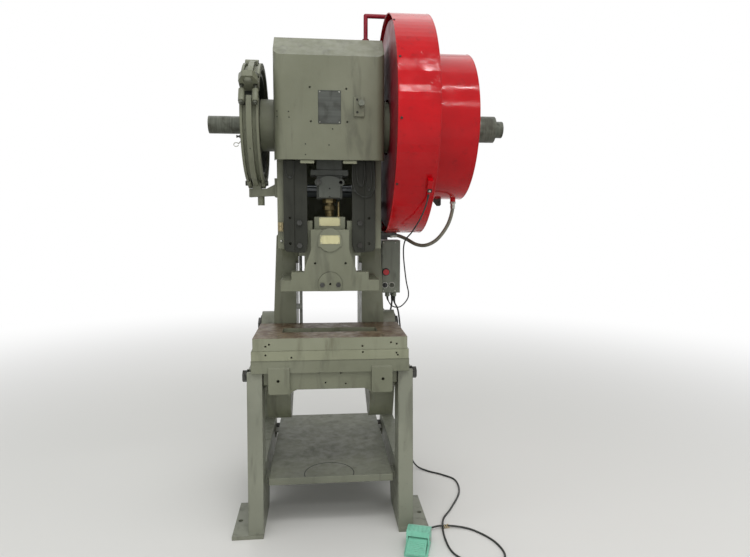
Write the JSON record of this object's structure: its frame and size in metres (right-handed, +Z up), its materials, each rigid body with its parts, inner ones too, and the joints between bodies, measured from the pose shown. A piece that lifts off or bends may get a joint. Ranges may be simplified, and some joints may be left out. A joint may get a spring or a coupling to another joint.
{
  "type": "stamping press",
  "caption": "Open-back inclinable mechanical stamping press on two cast legs, with guarded flywheel, drum brake, slotted bolster and a foot switch on its cord",
  "frame": {"origin": "on the floor at the centre of the four floor bolts", "axes": "+X to the press's right as its operator sees it, +Y to its rear, +Z up"},
  "size_m": [1.392, 1.3644, 2.426],
  "materials": {
    "leg_paint": "worn grey-green enamel on rough cast iron",
    "press_paint": "worn grey-green enamel on cast iron",
    "bed_paint": "worn grey-green enamel, oily",
    "bolster_steel": "bare steel, brown with old oil and light rust",
    "shelf_steel": "painted sheet, scuffed",
    "dark_steel": "oiled black steel",
    "bare_steel": "machined steel, oily",
    "dark_iron": "dark oily cast iron",
    "bronze": "oily bronze",
    "brass": "dull brass fittings",
    "flywheel_red": "glossy red enamel",
    "guard_red": "glossy red enamel",
    "motor_paint": "dark blue-grey enamel",
    "belt_rubber": "matte black belt rubber",
    "box_paint": "grey enamel",
    "red_plastic": "glossy red button",
    "black_plastic": "matte black",
    "conduit_steel": "dull zinc",
    "black_rubber": "matte black sheath",
    "switch_teal": "pale teal enamel"
  },
  "bodies": {
    "stand": {"left_leg": "leg_paint", "right_leg": "leg_paint", "tie_bar": "dark_steel", "shelf": "shelf_steel", "shelf_brackets": "leg_paint", "foot_switch": "switch_teal", "pedal_cord": "black_rubber"},
    "press_frame": {"frame": "press_paint", "pivot_bolts": "dark_steel", "clamp_bolts": "dark_steel", "bolster_base": "bed_paint", "bolster_plate": "bolster_steel", "gib_plates": "press_paint", "gib_strips": "bare_steel", "gib_screws": "dark_steel", "bearing_bushes": "bronze", "crown_cover": "press_paint", "latch_plate": "press_paint", "flywheel_guard": "guard_red", "clutch_guard": "guard_red", "guard_bar": "guard_red", "guard_bracket": "dark_steel", "motor": "motor_paint", "motor_bracket": "press_paint", "drive_belts": "belt_rubber", "control_box": "box_paint", "control_lid": "box_paint", "guard_switch": "box_paint", "air_valve": "black_plastic", "conduit": "conduit_steel", "lube_lines": "brass", "air_hose": "black_rubber", "switch_lead": "black_rubber", "motor_lead": "black_rubber", "brake_bracket": "press_paint", "brake_pin": "bare_steel"},
    "crank": {"crankshaft": "bare_steel", "brake_drum": "dark_iron", "clutch_hub": "bare_steel"},
    "connecting_rod": {"pitman": "dark_iron", "pitman_cap": "dark_iron", "pitman_clamp": "dark_iron", "pitman_bolts": "dark_steel", "adjusting_screw": "bronze", "lock_nut": "bronze"},
    "slide": {"ram": "press_paint", "ball_cap": "press_paint", "shank_clamp": "press_paint", "shank_screws": "dark_steel"},
    "wheel": {"flywheel": "flywheel_red", "clutch_housing": "dark_iron"},
    "pulley": {"motor_pulley": "dark_iron"},
    "front_brake": {"brake_front_arm": "press_paint", "brake_tie": "bare_steel"},
    "rear_brake": {"brake_rear_arm": "press_paint"},
    "stop": {"stop_button": "red_plastic"},
    "selector": {"selector_knob": "black_plastic"},
    "key": {"key_switch": "bare_steel"},
    "latch": {"latch_knob": "bare_steel"},
    "pedal": {"foot_pedal": "switch_teal"}
  },
  "joints": [
    {"name": "frame_tilt", "type": "hinge", "parent": "stand", "child": "press_frame", "pos_m": [0, 0.097, 0.89], "axis": [-1, 0, 0], "range_deg": [0, 25], "deforming": ["pedal_cord"]},
    {"name": "flywheel_spin", "type": "hinge", "parent": "press_frame", "child": "wheel", "pos_m": [0.336, -0.246, 1.907], "axis": [-1, 0, 0], "continuous": true},
    {"name": "pulley_spin", "type": "hinge", "parent": "press_frame", "child": "pulley", "pos_m": [0.342, 0.43, 1.56], "axis": [-1, 0, 0], "continuous": true},
    {"name": "crank_turn", "type": "hinge", "parent": "press_frame", "child": "crank", "pos_m": [0, -0.246, 1.907], "axis": [-1, 0, 0], "range_deg": [0, 180]},
    {"name": "pitman_pin", "type": "hinge", "parent": "crank", "child": "connecting_rod", "pos_m": [0, -0.246, 1.945], "axis": [-1, 0, 0], "range_deg": [-180, 0]},
    {"name": "ram_slide", "type": "slide", "parent": "press_frame", "child": "slide", "axis": [0, 0, 1], "range_m": [-0.0762, 0]},
    {"name": "front_arm_open", "type": "hinge", "parent": "press_frame", "child": "front_brake", "pos_m": [-0.34, -0.246, 1.64], "axis": [1, 0, 0], "range_deg": [0, 0.3], "stiffness_Nm_per_rad": 4000, "springref_deg": -2.86},
    {"name": "rear_arm_open", "type": "hinge", "parent": "press_frame", "child": "rear_brake", "pos_m": [-0.34, -0.246, 1.64], "axis": [-1, 0, 0], "range_deg": [0, 0.3]},
    {"name": "stop_press", "type": "slide", "parent": "press_frame", "child": "stop", "axis": [0, 1, 0], "range_m": [0, 0.004], "stiffness_N_per_m": 1500, "springref_m": -0.002},
    {"name": "selector_turn", "type": "hinge", "parent": "press_frame", "child": "selector", "pos_m": [0.308, 0.07, 1.111], "axis": [0, 1, 0], "range_deg": [0, 90]},
    {"name": "key_turn", "type": "hinge", "parent": "press_frame", "child": "key", "pos_m": [0.346, 0.07, 1.111], "axis": [0, 1, 0], "range_deg": [0, 90]},
    {"name": "latch_turn", "type": "hinge", "parent": "press_frame", "child": "latch", "pos_m": [0.14, -0.44, 1.979], "axis": [0, 1, 0], "range_deg": [0, 90]},
    {"name": "pedal_press", "type": "hinge", "parent": "stand", "child": "pedal", "pos_m": [0.38447, -0.62039, 0.05], "axis": [0.9511, -0.309, 0], "range_deg": [0, 5], "stiffness_Nm_per_rad": 60, "springref_deg": -2.86}
  ],
  "couplings": [
    {"joint": "pulley_spin", "follows": "flywheel_spin", "ratio": 6.5972},
    {"joint": "pitman_pin", "follows": "crank_turn", "ratio": -1},
    {"joint": "ram_slide", "follows": "crank_turn", "m_per_rad": -0.024192},
    {"joint": "rear_arm_open", "follows": "front_arm_open", "ratio": 1}
  ]
}
